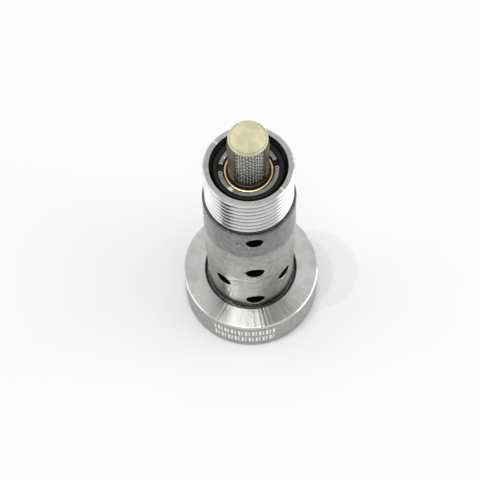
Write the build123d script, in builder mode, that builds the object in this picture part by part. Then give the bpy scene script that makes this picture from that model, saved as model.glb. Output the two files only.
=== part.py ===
from build123d import *

import os
from math import cos, radians, sin, sqrt, tan

# Screw-in oil control valve for a camshaft adjuster. A hollow steel bolt with a round head
# carries a ported sleeve, a sprung spool, a ball check valve and an inlet filter.
# Origin: centre of the head's outer face. +Z runs along the axis to the filter's cap.
# All lengths are in millimetres and all angles in degrees.

# Running and seating gaps
SLIP = 0.02  # radial gap of a piece that is pushed into the bolt's bore
SPOOL_FIT = 0.03  # radial running clearance of the spool
STOP_GAP = 0.05  # axial gap where a moving piece stands on its stop
CUT_MARGIN = 1.0  # how far a cutting tool runs past the surface that it cuts

# Bolt head
HEAD_R = 15.0
HEAD_HEIGHT = 10.0
HEAD_BEVEL = 0.5
SEAT_BEVEL = 0.3
SEAT_INNER_R = 10.0
FOOT_GROOVE_R = 9.15
FOOT_GROOVE_DEPTH = 1.3

# Six-lobe drive recess in the head
DRIVE_TIP_R = 11.0
DRIVE_VALLEY_R = 8.1
DRIVE_LOBE_R = 2.2
DRIVE_BLEND_R = 1.2
DRIVE_LOBES = 6
DRIVE_DEPTH = 6.0
DRIVE_MOUTH_BEVEL = 0.6

# Bolt shank, from the head to the thread
LOWER_LAND_R = 9.45
MIDDLE_LAND_R = 9.6
PILOT_R = 9.5
MIDDLE_LAND_START = 23.5
PILOT_START = 36.0
PILOT_END = 45.6
LAND_BEVEL = 0.7
BOLT_SEAM = 40.0
PILOT_BEVEL = 0.25

# M18 x 1.5 thread
THREAD_R = 9.0
THREAD_PITCH = 1.5
THREAD_DEPTH = 0.6134 * THREAD_PITCH
THREAD_ROOT_R = THREAD_R - THREAD_DEPTH
THREAD_RELIEF_END = 46.2
THREAD_FIRST_GROOVE = 47.1
THREAD_GROOVES = 7
THREAD_END = 57.85
THREAD_BEVEL = 0.35

# Bore of the bolt
BORE_R = 7.0
MOUTH_BEVEL = 0.36
STOP_GROOVE_R = 7.5
STOP_GROOVE_START = 7.2
STOP_GROOVE_END = 8.2

# Radial ports: (height, diameter in the bolt, diameter in the sleeve, first angle)
PORTS_PER_ROW = 4
TANK_PORT = (42.2, 3.6, 3.2, 0.0)
PORT_A = (27.6, 4.0, 3.2, 0.0)
SUPPLY_PORT = (20.0, 3.7, 2.6, 45.0)
PORT_B = (13.1, 4.0, 3.2, 0.0)
PORT_ROWS = (TANK_PORT, PORT_A, SUPPLY_PORT, PORT_B)

# Stop at the head end
STOP_WASHER_THICKNESS = 1.0
STOP_WASHER_HOLE_R = 3.55
STOP_RING_THICKNESS = 0.9
STOP_RING_INNER_R = 6.1
STOP_RING_GAP_ANGLE = 34.0
STOP_RING_EAR_ANGLE = 23.0
STOP_RING_EAR_PLACE_R = 5.8
STOP_RING_EAR_R = 1.15
STOP_RING_EAR_HOLE_R = 0.55

# Ported sleeve
SLEEVE_R = BORE_R - SLIP
SLEEVE_BORE_R = 5.0
SLEEVE_START = STOP_GROOVE_END + STOP_WASHER_THICKNESS
SLEEVE_END = 45.3
CHANNEL_WIDTH = 3.0
CHANNEL_DEPTH = 0.9
CHANNEL_START = 18.0

# Spool and its nose
SPOOL_R = SLEEVE_BORE_R - SPOOL_FIT
SPOOL_NECK_R = 3.9
SPOOL_BORE_R = 2.6
SPOOL_START = SLEEVE_START + STOP_GAP
SPOOL_END = 36.5
SPOOL_NECKS = ((SPOOL_START, 11.2), (13.7, 24.0), (27.5, 31.0))
SPOOL_HOLES = ((10.45, 1.2), (29.3, 2.4))
SPRING_POCKET_R = 4.05
SPRING_POCKET_START = 33.5
NOSE_R = 3.3
NOSE_TIP = 4.2
NOSE_SPIGOT_LENGTH = 0.45
NOSE_ROUND = 0.9

# Return spring and the plug that it pushes against
SPRING_PLUG_START = 44.0
SPRING_PLUG_BOSS_R = 2.5
SPRING_PLUG_BOSS_LENGTH = 0.8
SPRING_MEAN_R = 3.3
SPRING_WIRE_R = 0.42
SPRING_COILS = 6.5

# Ball check valve
CHECK_BASE_R = 5.9
CHECK_BASE_THICKNESS = 0.6
CHECK_GUIDE_R = 2.9
CHECK_GUIDE_BORE_R = 1.95
CHECK_WINDOW_WIDTH = 1.6
CHECK_WINDOW_MARGIN = 0.7
CHECK_SEAT_START = 50.9
CHECK_SEAT_END = 52.4
CHECK_ORIFICE_R = 1.3
CHECK_ENTRY_R = 3.0
CHECK_LIP = 0.35
BALL_R = 1.75
BALL_DROP = sqrt(BALL_R**2 - CHECK_ORIFICE_R**2) + STOP_GAP
BALL_HEIGHT = CHECK_SEAT_START - BALL_DROP
CHECK_SPRING_MEAN_R = 1.05
CHECK_SPRING_WIRE_R = 0.15
CHECK_SPRING_END = 48.1
CHECK_SPRING_COILS = 3.5

# Filter holder, its seal and its rings
HOLDER_START = CHECK_SEAT_END
HOLDER_FLOOR = 53.4
HOLDER_SHELF = 56.0
HOLDER_END = 56.9
HOLDER_HOLE_R = 3.4
HOLDER_SOCKET_R = 4.95
HOLDER_RECESS_R = 6.0
SEAL_GROOVE_R = 6.02
SEAL_GROOVE_START = 53.4
SEAL_GROOVE_END = 54.6
SEAL_SECTION_R = 0.47
KEEPER_INNER_R = 5.1
KEEPER_OUTER_R = 5.97
KEEPER_THICKNESS = 0.55
FRONT_KEEPER_ANGLES = (183.0, 356.0)
BACK_KEEPER_ANGLES = (15.0, 162.0)
KEEPER_EYE_PLACE_R = 5.53
KEEPER_EYE_R = 0.44
KEEPER_EYE_HOLE_R = 0.2
COLLAR_INNER_R = 4.28
COLLAR_OUTER_R = 4.9
COLLAR_START = 55.3
COLLAR_END = 56.1
COLLAR_ROUND = 0.28

# Inlet filter
CAP_R = 3.8
CAP_START = 68.3
CAP_RIM_END = 68.65
CAP_DISC_R = 3.45
CAP_DISC_BEVEL = 0.2
CAP_END = 68.9
FOOT_BAND_INNER_R = 3.44
FOOT_BAND_R = 4.1
FOOT_BAND_END = 56.6
RIB_STEP = 66.6
RIB_TOP_R = 3.78
FILTER_FLANGE_R = 4.9
FILTER_BORE_R = 3.0
RIB_INNER_R = 3.45
RIB_OUTER_R = 4.02
RIB_ANGLE = 76.0
RIB_MIDDLES = (0.0, 180.0)
MESH_OUTER_R = 3.42
MESH_INNER_R = 3.26


def turned(*corners, mode=Mode.ADD, seam=0.0):
    """Revolves a closed outline of (radius, height) corners about Z into the open part.

    The surfaces' seam lines lie at the seam angle.
    """
    turn = radians(seam)
    across, normal = (cos(turn), sin(turn), 0), (sin(turn), -cos(turn), 0)
    with BuildSketch(Plane((0, 0, 0), x_dir=across, z_dir=normal)) as outline:
        with BuildLine():
            Polyline(*corners, close=True)
        make_face()
    revolve(outline.sketch, axis=Axis.Z, mode=mode)


def ring(inner_r, outer_r, start, end, mode=Mode.ADD):
    """Puts a plain ring of rectangular section into the open part."""
    turned((inner_r, start), (outer_r, start), (outer_r, end), (inner_r, end), mode=mode)


def disc(radius, start, end, mode=Mode.ADD):
    """Puts a plain disc into the open part."""
    ring(0, radius, start, end, mode=mode)


def radial_holes(height, diameter, inner_r, outer_r, first_angle=0.0):
    """Drills one row of radial holes through the wall of the open part."""
    with Locations(Plane.XY.offset(height)):
        with PolarLocations((inner_r + outer_r) / 2, PORTS_PER_ROW, start_angle=first_angle):
            depth = outer_r - inner_r + CUT_MARGIN
            Cylinder(diameter / 2, depth, rotation=(0, 90, 0), mode=Mode.SUBTRACT)


def sector(inner_r, outer_r, first_angle, last_angle, start, end):
    """Puts a piece of a ring, from one angle to another, into the open part."""
    with BuildSketch(Plane.XY.offset(start)) as outline:
        with BuildLine():
            outer = CenterArc((0, 0), outer_r, first_angle, last_angle - first_angle)
            inner = CenterArc((0, 0), inner_r, first_angle, last_angle - first_angle)
            Line(outer @ 0, inner @ 0)
            Line(outer @ 1, inner @ 1)
        make_face()
    extrude(outline.sketch, amount=end - start)


def eye(place_r, angle, outer_r, hole_r, start, end):
    """Adds a round ear with a hole through it to a flat ring in the open part."""
    thickness = end - start
    upright = (Align.CENTER, Align.CENTER, Align.MIN)
    with Locations((place_r * cos(radians(angle)), place_r * sin(radians(angle)), start)):
        Cylinder(outer_r, thickness, align=upright)
        Cylinder(hole_r, thickness, align=upright, mode=Mode.SUBTRACT)


def coil(mean_r, wire_r, start, end, coils):
    """Winds a round wire from one height to another into the open part."""
    rise = end - start - 2 * wire_r
    with BuildLine(Plane.XY.offset(start + wire_r)) as wire:
        Helix(rise / coils, rise, mean_r)
    with BuildSketch(Plane(origin=wire.line @ 0, x_dir=(1, 0, 0), z_dir=wire.line % 0)) as section:
        Circle(wire_r)
    sweep(section.sketch, path=wire.line, is_frenet=True)


def write(part, name):
    """Labels a finished piece and writes it to its own STEP file."""
    part.label = name
    export_step(part, f"parts/{name}.step")


os.makedirs("parts", exist_ok=True)

# Half widths of a thread groove at its root and at the crests, with flanks at 60 degrees
root_half_width = THREAD_PITCH / 12
crest_half_width = root_half_width + THREAD_DEPTH * tan(radians(30))

# Bolt: head, shank with three lands, thread, and the bore that holds everything else.
with BuildPart() as valve_bolt:
    turned(
        (BORE_R, 0),
        (HEAD_R - HEAD_BEVEL, 0),
        (HEAD_R, HEAD_BEVEL),
        (HEAD_R, HEAD_HEIGHT - SEAT_BEVEL),
        (HEAD_R - SEAT_BEVEL, HEAD_HEIGHT),
        (SEAT_INNER_R + SEAT_BEVEL, HEAD_HEIGHT),
        (SEAT_INNER_R, HEAD_HEIGHT - SEAT_BEVEL),
        (SEAT_INNER_R, HEAD_HEIGHT - FOOT_GROOVE_DEPTH),
        (FOOT_GROOVE_R, HEAD_HEIGHT - FOOT_GROOVE_DEPTH),
        (FOOT_GROOVE_R, HEAD_HEIGHT - SEAT_BEVEL),
        (LOWER_LAND_R, HEAD_HEIGHT),
        (LOWER_LAND_R, MIDDLE_LAND_START),
        (MIDDLE_LAND_R, MIDDLE_LAND_START + LAND_BEVEL),
        (MIDDLE_LAND_R, PILOT_START - LAND_BEVEL),
        (PILOT_R, PILOT_START),
        (PILOT_R, PILOT_END - PILOT_BEVEL),
        (PILOT_R - PILOT_BEVEL, PILOT_END),
        (THREAD_ROOT_R, PILOT_END),
        (THREAD_ROOT_R, THREAD_RELIEF_END),
        (THREAD_R, THREAD_RELIEF_END + THREAD_DEPTH / 2),
        (THREAD_R, THREAD_END - THREAD_BEVEL),
        (THREAD_R - THREAD_BEVEL, THREAD_END),
        (BORE_R + MOUTH_BEVEL, THREAD_END),
        (BORE_R, THREAD_END - MOUTH_BEVEL),
        seam=BOLT_SEAM,
    )
    ring(BORE_R - CUT_MARGIN, STOP_GROOVE_R, STOP_GROOVE_START, STOP_GROOVE_END, mode=Mode.SUBTRACT)

    with BuildSketch() as drive:
        Circle(DRIVE_VALLEY_R)
        with PolarLocations(DRIVE_TIP_R - DRIVE_LOBE_R, DRIVE_LOBES):
            Circle(DRIVE_LOBE_R)
        fillet(drive.vertices(), DRIVE_BLEND_R)
    extrude(amount=DRIVE_DEPTH, mode=Mode.SUBTRACT)
    turned(
        (0, 0),
        (DRIVE_TIP_R + DRIVE_MOUTH_BEVEL, 0),
        (DRIVE_TIP_R, DRIVE_MOUTH_BEVEL),
        (0, DRIVE_MOUTH_BEVEL),
        mode=Mode.SUBTRACT,
    )

    for height, bolt_hole, _, first_angle in PORT_ROWS:
        radial_holes(height, bolt_hole, BORE_R, PILOT_R, first_angle)

    # The thread is a stack of closed V grooves of the thread's pitch, depth and angle.
    for turn in range(THREAD_GROOVES):
        middle = THREAD_FIRST_GROOVE + turn * THREAD_PITCH
        turned(
            (THREAD_ROOT_R, middle - root_half_width),
            (THREAD_R, middle - crest_half_width),
            (THREAD_R + CUT_MARGIN, middle - crest_half_width),
            (THREAD_R + CUT_MARGIN, middle + crest_half_width),
            (THREAD_R, middle + crest_half_width),
            (THREAD_ROOT_R, middle + root_half_width),
            mode=Mode.SUBTRACT,
        )
write(valve_bolt.part, "valve_bolt")

# Stop washer: the spool's lower shoulder stands on it.
with BuildPart() as stop_washer:
    ring(STOP_WASHER_HOLE_R, SLEEVE_R, STOP_GROOVE_END, SLEEVE_START)
write(stop_washer.part, "stop_washer")

# Stop ring: an internal retaining ring with two eared ends, sprung into the bore's groove.
with BuildPart() as stop_ring:
    ring_start = STOP_GROOVE_END - STOP_RING_THICKNESS
    sector(
        STOP_RING_INNER_R,
        STOP_GROOVE_R - SLIP,
        STOP_RING_GAP_ANGLE / 2,
        360 - STOP_RING_GAP_ANGLE / 2,
        ring_start,
        STOP_GROOVE_END,
    )
    for angle in (STOP_RING_EAR_ANGLE, -STOP_RING_EAR_ANGLE):
        eye(
            STOP_RING_EAR_PLACE_R,
            angle,
            STOP_RING_EAR_R,
            STOP_RING_EAR_HOLE_R,
            ring_start,
            STOP_GROOVE_END,
        )
write(stop_ring.part, "stop_ring")

# Ported sleeve: it guides the spool, and four outer channels feed the supply ports.
with BuildPart() as port_sleeve:
    ring(SLEEVE_BORE_R, SLEEVE_R, SLEEVE_START, SLEEVE_END)
    channel_length = SLEEVE_END - CHANNEL_START
    with Locations(Plane.XY.offset(CHANNEL_START + channel_length / 2)):
        with PolarLocations(SLEEVE_R, PORTS_PER_ROW, start_angle=SUPPLY_PORT[3]):
            Box(2 * CHANNEL_DEPTH, CHANNEL_WIDTH, channel_length, mode=Mode.SUBTRACT)
    for height, _, sleeve_hole, first_angle in PORT_ROWS:
        radial_holes(height, sleeve_hole, SLEEVE_BORE_R, SLEEVE_R, first_angle)
write(port_sleeve.part, "port_sleeve")

# Spool: three lands and three necks on a hollow shaft, with a pocket for the spring.
with BuildPart() as spool:
    ring(SPOOL_BORE_R, SPOOL_R, SPOOL_START, SPOOL_END)
    for neck_start, neck_end in SPOOL_NECKS:
        ring(SPOOL_NECK_R, SPOOL_R + CUT_MARGIN, neck_start, neck_end, mode=Mode.SUBTRACT)
    for height, diameter in SPOOL_HOLES:
        radial_holes(height, diameter, SPOOL_BORE_R, SPOOL_NECK_R)
    disc(SPRING_POCKET_R, SPRING_POCKET_START, SPOOL_END + CUT_MARGIN, mode=Mode.SUBTRACT)
write(spool.part, "spool")

# Spool nose: a hard plug in the spool's end, with the round-edged face that the actuator pushes.
with BuildPart() as spool_nose:
    disc(NOSE_R, NOSE_TIP, SPOOL_START)
    fillet(spool_nose.faces().sort_by(Axis.Z)[0].edges(), NOSE_ROUND)
    disc(SPOOL_BORE_R - SLIP, SPOOL_START, SPOOL_START + NOSE_SPIGOT_LENGTH)
write(spool_nose.part, "spool_nose")

# Spring plug: it closes the sleeve and centres the return spring on its boss.
with BuildPart() as spring_plug:
    disc(SLEEVE_BORE_R - SLIP, SPRING_PLUG_START, SLEEVE_END)
    disc(SPRING_PLUG_BOSS_R, SPRING_PLUG_START - SPRING_PLUG_BOSS_LENGTH, SPRING_PLUG_START)
write(spring_plug.part, "spring_plug")

# Return spring: it pushes the spool back to the stop washer.
with BuildPart() as return_spring:
    coil(
        SPRING_MEAN_R,
        SPRING_WIRE_R,
        SPRING_POCKET_START + STOP_GAP,
        SPRING_PLUG_START - STOP_GAP,
        SPRING_COILS,
    )
write(return_spring.part, "return_spring")

# Check cage: a base plate and a slotted guide for the ball and its spring.
with BuildPart() as check_cage:
    guide_start = SLEEVE_END + CHECK_BASE_THICKNESS
    disc(CHECK_BASE_R, SLEEVE_END, guide_start)
    ring(CHECK_GUIDE_BORE_R, CHECK_GUIDE_R, guide_start, CHECK_SEAT_START)
    window_height = CHECK_SEAT_START - guide_start - 2 * CHECK_WINDOW_MARGIN
    with Locations(Plane.XY.offset(guide_start + CHECK_WINDOW_MARGIN + window_height / 2)):
        with PolarLocations(CHECK_GUIDE_R, PORTS_PER_ROW):
            Box(CHECK_GUIDE_R, CHECK_WINDOW_WIDTH, window_height, mode=Mode.SUBTRACT)
write(check_cage.part, "check_cage")

# Check ball: it opens towards the sleeve and closes on the seat's lower edge.
with BuildPart() as check_ball:
    with Locations((0, 0, BALL_HEIGHT)):
        Sphere(BALL_R)
write(check_ball.part, "check_ball")

# Check spring: a light coil under the ball.
with BuildPart() as check_spring:
    coil(
        CHECK_SPRING_MEAN_R,
        CHECK_SPRING_WIRE_R,
        guide_start + STOP_GAP,
        CHECK_SPRING_END,
        CHECK_SPRING_COILS,
    )
write(check_spring.part, "check_spring")

# Check seat: a disc across the bore with a funnel down to the ball's orifice.
with BuildPart() as check_seat:
    turned(
        (CHECK_ORIFICE_R, CHECK_SEAT_START),
        (SLEEVE_R, CHECK_SEAT_START),
        (SLEEVE_R, CHECK_SEAT_END),
        (CHECK_ENTRY_R, CHECK_SEAT_END),
        (CHECK_ORIFICE_R, CHECK_SEAT_START + CHECK_LIP),
    )
write(check_seat.part, "check_seat")

# Filter holder: a black bush in the thread's mouth, with a groove for its seal.
with BuildPart() as filter_holder:
    turned(
        (HOLDER_HOLE_R, HOLDER_START),
        (SLEEVE_R, HOLDER_START),
        (SLEEVE_R, HOLDER_END),
        (HOLDER_RECESS_R, HOLDER_END),
        (HOLDER_RECESS_R, HOLDER_SHELF),
        (HOLDER_SOCKET_R, HOLDER_SHELF),
        (HOLDER_SOCKET_R, HOLDER_FLOOR),
        (HOLDER_HOLE_R, HOLDER_FLOOR),
    )
    ring(SEAL_GROOVE_R, BORE_R, SEAL_GROOVE_START, SEAL_GROOVE_END, mode=Mode.SUBTRACT)
write(filter_holder.part, "filter_holder")

# Holder seal: an O-ring between the holder and the bore.
with BuildPart() as holder_seal:
    with Locations((0, 0, (SEAL_GROOVE_START + SEAL_GROOVE_END) / 2)):
        Torus((SEAL_GROOVE_R + BORE_R) / 2, SEAL_SECTION_R)
write(holder_seal.part, "holder_seal")

# Keepers: two flat half rings on the holder's shelf. The front one ends in two eyes.
with BuildPart() as front_keeper:
    sector(
        KEEPER_INNER_R,
        KEEPER_OUTER_R,
        *FRONT_KEEPER_ANGLES,
        HOLDER_SHELF,
        HOLDER_SHELF + KEEPER_THICKNESS,
    )
    for angle in FRONT_KEEPER_ANGLES:
        eye(
            KEEPER_EYE_PLACE_R,
            angle,
            KEEPER_EYE_R,
            KEEPER_EYE_HOLE_R,
            HOLDER_SHELF,
            HOLDER_SHELF + KEEPER_THICKNESS,
        )
write(front_keeper.part, "front_keeper")

with BuildPart() as back_keeper:
    sector(
        KEEPER_INNER_R,
        KEEPER_OUTER_R,
        *BACK_KEEPER_ANGLES,
        HOLDER_SHELF,
        HOLDER_SHELF + KEEPER_THICKNESS,
    )
write(back_keeper.part, "back_keeper")

# Brass collar: a rounded ring that presses the filter's flange into the holder.
with BuildPart() as brass_collar:
    ring(COLLAR_INNER_R, COLLAR_OUTER_R, COLLAR_START, COLLAR_END)
    fillet(brass_collar.faces().sort_by(Axis.Z)[-1].edges(), COLLAR_ROUND)
write(brass_collar.part, "brass_collar")

# Filter cage: a moulded flange with a band round its foot, two side ribs and a round cap.
with BuildPart() as filter_cage:
    ring(FILTER_BORE_R, FILTER_FLANGE_R, HOLDER_FLOOR, COLLAR_START)
    ring(FOOT_BAND_INNER_R, FOOT_BAND_R, COLLAR_START, FOOT_BAND_END)
    for middle in RIB_MIDDLES:
        first_angle, last_angle = middle - RIB_ANGLE / 2, middle + RIB_ANGLE / 2
        sector(RIB_INNER_R, RIB_OUTER_R, first_angle, last_angle, COLLAR_START, RIB_STEP)
        sector(RIB_INNER_R, RIB_TOP_R, first_angle, last_angle, RIB_STEP, CAP_START)
    disc(CAP_R, CAP_START, CAP_RIM_END)
    turned(
        (0, CAP_RIM_END),
        (CAP_DISC_R, CAP_RIM_END),
        (CAP_DISC_R - CAP_DISC_BEVEL, CAP_END),
        (0, CAP_END),
    )
write(filter_cage.part, "filter_cage")

# Filter mesh: a woven metal tube inside the ribs.
with BuildPart() as filter_mesh:
    ring(MESH_INNER_R, MESH_OUTER_R, COLLAR_START, CAP_START)
write(filter_mesh.part, "filter_mesh")
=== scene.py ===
"""Looks of a screw-in oil control valve: a steel valve bolt, its spool and its inlet filter.

All sizes in the classes are in millimetres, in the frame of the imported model, and are turned
into metres where a mesh is made. Angles are in degrees, counted from +X towards +Y.
"""

import logging
import math
from collections.abc import Iterable, Sequence
from dataclasses import dataclass, field
from enum import Enum

import bmesh
import bpy
from mathutils import Matrix, Vector


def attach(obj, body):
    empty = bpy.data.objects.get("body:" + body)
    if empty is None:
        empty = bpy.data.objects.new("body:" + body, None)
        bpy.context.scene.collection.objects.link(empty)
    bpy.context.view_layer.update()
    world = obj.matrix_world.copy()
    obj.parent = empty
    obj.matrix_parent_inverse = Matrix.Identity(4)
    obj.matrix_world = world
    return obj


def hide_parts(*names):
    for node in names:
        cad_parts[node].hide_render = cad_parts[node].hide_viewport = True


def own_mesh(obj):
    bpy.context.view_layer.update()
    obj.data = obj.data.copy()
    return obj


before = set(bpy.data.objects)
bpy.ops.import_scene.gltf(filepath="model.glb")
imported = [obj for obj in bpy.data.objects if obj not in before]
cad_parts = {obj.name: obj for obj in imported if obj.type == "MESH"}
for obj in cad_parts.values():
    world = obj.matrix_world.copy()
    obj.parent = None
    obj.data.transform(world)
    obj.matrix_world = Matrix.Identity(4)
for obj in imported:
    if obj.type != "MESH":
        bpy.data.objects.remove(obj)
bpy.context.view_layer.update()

MM = 0.001
FULL_TURN = 360.0
WELD_DISTANCE = 1e-7  # metres
GUARD_DISTANCE = 0.12  # from a corner to the point that keeps its worn edge narrow
STEP_LENGTH = 0.7  # longest run of an outline between two points
CUT_MARGIN = 1.0  # how far a cutter stands out of what it cuts
WEAR_RANGE = (0.52, 0.57)  # sharpness at which an edge starts to wear, and is fully worn
WEAR_STRENGTH = 0.85
CHATTER_RADIUS = 12.0  # middle of the seat
PANEL_HEIGHT = 0.03  # metres; height on the axis that every light faces

Colour = tuple[float, float, float]
Point2 = tuple[float, float]
Point3 = tuple[float, float, float]

log = logging.getLogger("valve")


# ---------------------------------------------------------------------------------------------
# Mesh making
# ---------------------------------------------------------------------------------------------


@dataclass(frozen=True)
class Corner:
    """One corner of a turned outline.

    Attributes:
        r: Radius, or the outline's first coordinate.
        z: Height, or the outline's second coordinate.
        rounding: Radius of the arc that replaces the corner.
        zone: Material slot of the surface that leaves this corner.
    """

    r: float
    z: float
    rounding: float = 0.0
    zone: int = 0


def polar(radius: float, angle: float, height: float) -> Point3:
    """Returns the point at a radius, an angle in degrees and a height."""
    turn = math.radians(angle)
    return (radius * math.cos(turn), radius * math.sin(turn), height)


def smooth_step(low: float, high: float, value: float) -> float:
    """Returns 0 below low, 1 above high, and a smooth ramp between them."""
    share = min(max((value - low) / (high - low), 0.0), 1.0)
    return share * share * (3 - 2 * share)


def rounded_outline(corners: Sequence[Corner], closed: bool = True, steps: int = 3) -> list[Corner]:
    """Replaces the rounded corners of an outline by arcs.

    Args:
        corners: The outline's corners, in order.
        closed: True if the last corner joins the first.
        steps: Number of chords in each arc.

    Returns:
        Plain corners, with each rounded one replaced by the points of its arc.
    """
    points: list[Corner] = []
    count = len(corners)
    for index, corner in enumerate(corners):
        at_end = index in (0, count - 1)
        if corner.rounding <= 0 or (at_end and not closed):
            points.append(corner)
            continue
        here = Vector((corner.r, corner.z))
        before = corners[index - 1]
        after = corners[(index + 1) % count]
        to_before = (Vector((before.r, before.z)) - here).normalized()
        to_after = (Vector((after.r, after.z)) - here).normalized()
        half = to_before.angle(to_after) / 2
        reach = corner.rounding / math.tan(half)
        middle = here + (to_before + to_after).normalized() * corner.rounding / math.sin(half)
        start = here + to_before * reach - middle
        sweep = start.angle_signed(here + to_after * reach - middle)
        for step in range(steps + 1):
            place = middle + Matrix.Rotation(-sweep * step / steps, 2) @ start
            zone = before.zone if step == 0 and not points else corner.zone
            points.append(Corner(place.x, place.y, 0.0, zone))
    return guarded_outline(points, closed)


def guarded_outline(corners: Sequence[Corner], closed: bool) -> list[Corner]:
    """Divides long straight runs, with a point close to each end, so that worn edges stay narrow.

    Args:
        corners: The outline's corners, in order.
        closed: True if the last corner joins the first.

    Returns:
        The outline with the added points.
    """
    points: list[Corner] = []
    for index, corner in enumerate(corners):
        points.append(corner)
        if index == len(corners) - 1 and not closed:
            break
        after = corners[(index + 1) % len(corners)]
        length = math.hypot(after.r - corner.r, after.z - corner.z)
        if length < 4 * GUARD_DISTANCE:
            continue
        steps = math.ceil(length / STEP_LENGTH)
        shares = [GUARD_DISTANCE / length, *(step / steps for step in range(1, steps))]
        for share in (*shares, 1 - GUARD_DISTANCE / length):
            r = corner.r + (after.r - corner.r) * share
            z = corner.z + (after.z - corner.z) * share
            points.append(Corner(r, z, 0.0, corner.zone))
    return points


def make_object(
    name: str,
    points: Iterable[Point3],
    faces: Iterable[Sequence[int]],
    zones: Sequence[int] | None = None,
) -> bpy.types.Object:
    """Makes a closed mesh object from points in millimetres.

    Args:
        name: Name of the object.
        points: Vertices in millimetres.
        faces: Vertex numbers of each face.
        zones: Material slot of each face, or None for slot 0 everywhere.

    Returns:
        The new object, linked to the scene, with its normals pointing outwards.
    """
    mesh = bpy.data.meshes.new(name)
    scaled = [(x * MM, y * MM, z * MM) for x, y, z in points]
    mesh.from_pydata(scaled, [], [tuple(face) for face in faces])
    if zones is not None:
        mesh.polygons.foreach_set("material_index", zones)
    work = bmesh.new()
    work.from_mesh(mesh)
    bmesh.ops.remove_doubles(work, verts=work.verts, dist=WELD_DISTANCE)
    bmesh.ops.dissolve_degenerate(work, dist=WELD_DISTANCE, edges=work.edges)
    bmesh.ops.recalc_face_normals(work, faces=work.faces)
    work.to_mesh(mesh)
    work.free()
    made = bpy.data.objects.new(name, mesh)
    bpy.context.scene.collection.objects.link(made)
    return made


def grid_faces(columns: int, rows: int, wrap_columns: bool, wrap_rows: bool) -> list[tuple[int, ...]]:
    """Returns the quads of a grid whose points are listed column by column.

    Args:
        columns: Number of columns.
        rows: Number of points in each column.
        wrap_columns: True if the last column joins the first.
        wrap_rows: True if the last point of a column joins its first.

    Returns:
        The quads, as vertex numbers.
    """
    faces = []
    for column in range(columns if wrap_columns else columns - 1):
        here = column * rows
        there = (column + 1) % columns * rows
        for row in range(rows if wrap_rows else rows - 1):
            over = (row + 1) % rows
            faces.append((here + row, there + row, there + over, here + over))
    return faces


def turned(name: str, corners: Sequence[Corner], segments: int = 144) -> bpy.types.Object:
    """Turns a closed outline about the Z axis.

    Args:
        name: Name of the object.
        corners: The outline's corners in order, as radius and height.
        segments: Number of steps round the axis.

    Returns:
        The turned object.
    """
    outline = rounded_outline(corners)
    points = [
        polar(corner.r, FULL_TURN * step / segments, corner.z)
        for step in range(segments)
        for corner in outline
    ]
    faces = grid_faces(segments, len(outline), True, True)
    return make_object(name, points, faces, [corner.zone for _ in range(segments) for corner in outline])


def swept_arc(
    name: str, corners: Sequence[Corner], first: float, last: float, segments: int = 72
) -> bpy.types.Object:
    """Sweeps a closed outline about the Z axis from one angle to another and closes its ends.

    Args:
        name: Name of the object.
        corners: The outline's corners in order, as radius and height.
        first: Angle of the arc's start.
        last: Angle of the arc's end.
        segments: Number of steps along the arc.

    Returns:
        The swept object.
    """
    outline = rounded_outline(corners)
    rows = len(outline)
    points = [
        polar(corner.r, first + (last - first) * step / segments, corner.z)
        for step in range(segments + 1)
        for corner in outline
    ]
    faces = grid_faces(segments + 1, rows, False, True)
    faces.append(tuple(range(rows)))
    faces.append(tuple(segments * rows + row for row in range(rows)))
    return make_object(name, points, faces)


def pin(
    name: str,
    radius: float,
    low: float,
    high: float,
    offset: Point3,
    segments: int,
    rounding: Point2 = (0.0, 0.0),
) -> bpy.types.Object:
    """Turns a solid upright pin and moves it away from the axis.

    Args:
        name: Name of the object.
        radius: The pin's radius.
        low: Height of its lower end.
        high: Height of its upper end.
        offset: How far its axis is moved.
        segments: Number of steps round the pin.
        rounding: Radii of its lower and upper edge.

    Returns:
        The pin.
    """
    corners = [
        Corner(0, low),
        Corner(radius, low, rounding[0]),
        Corner(radius, high, rounding[1]),
        Corner(0, high),
    ]
    made = turned(name, corners, segments)
    made.data.transform(Matrix.Translation(Vector(offset) * MM))
    return made


def tube_mesh(
    path: Sequence[Vector],
    wire_r: float,
    sides: int,
    closed: bool,
    points: list[Point3],
    faces: list[tuple[int, ...]],
) -> None:
    """Adds a round tube along a path to lists of points and faces.

    Args:
        path: The tube's middle line.
        wire_r: Radius of the tube.
        sides: Number of sides of its section.
        closed: True if the path's end joins its start.
        points: List of points that grows.
        faces: List of faces that grows.
    """
    first = len(points)
    count = len(path)
    for index, place in enumerate(path):
        ahead = path[(index + 1) % count] if closed else path[min(index + 1, count - 1)]
        behind = path[index - 1] if closed else path[max(index - 1, 0)]
        along = (ahead - behind).normalized()
        outward = Vector((place.x, place.y, 0)).normalized()
        side = along.cross(outward).normalized()
        upward = side.cross(along)
        for step in range(sides):
            turn = 2 * math.pi * step / sides
            points.append(tuple(place + wire_r * (math.cos(turn) * upward + math.sin(turn) * side)))
    for face in grid_faces(count, sides, closed, True):
        faces.append(tuple(first + number for number in face))
    if not closed:
        faces.append(tuple(first + step for step in range(sides)))
        faces.append(tuple(first + (count - 1) * sides + step for step in range(sides)))


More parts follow.
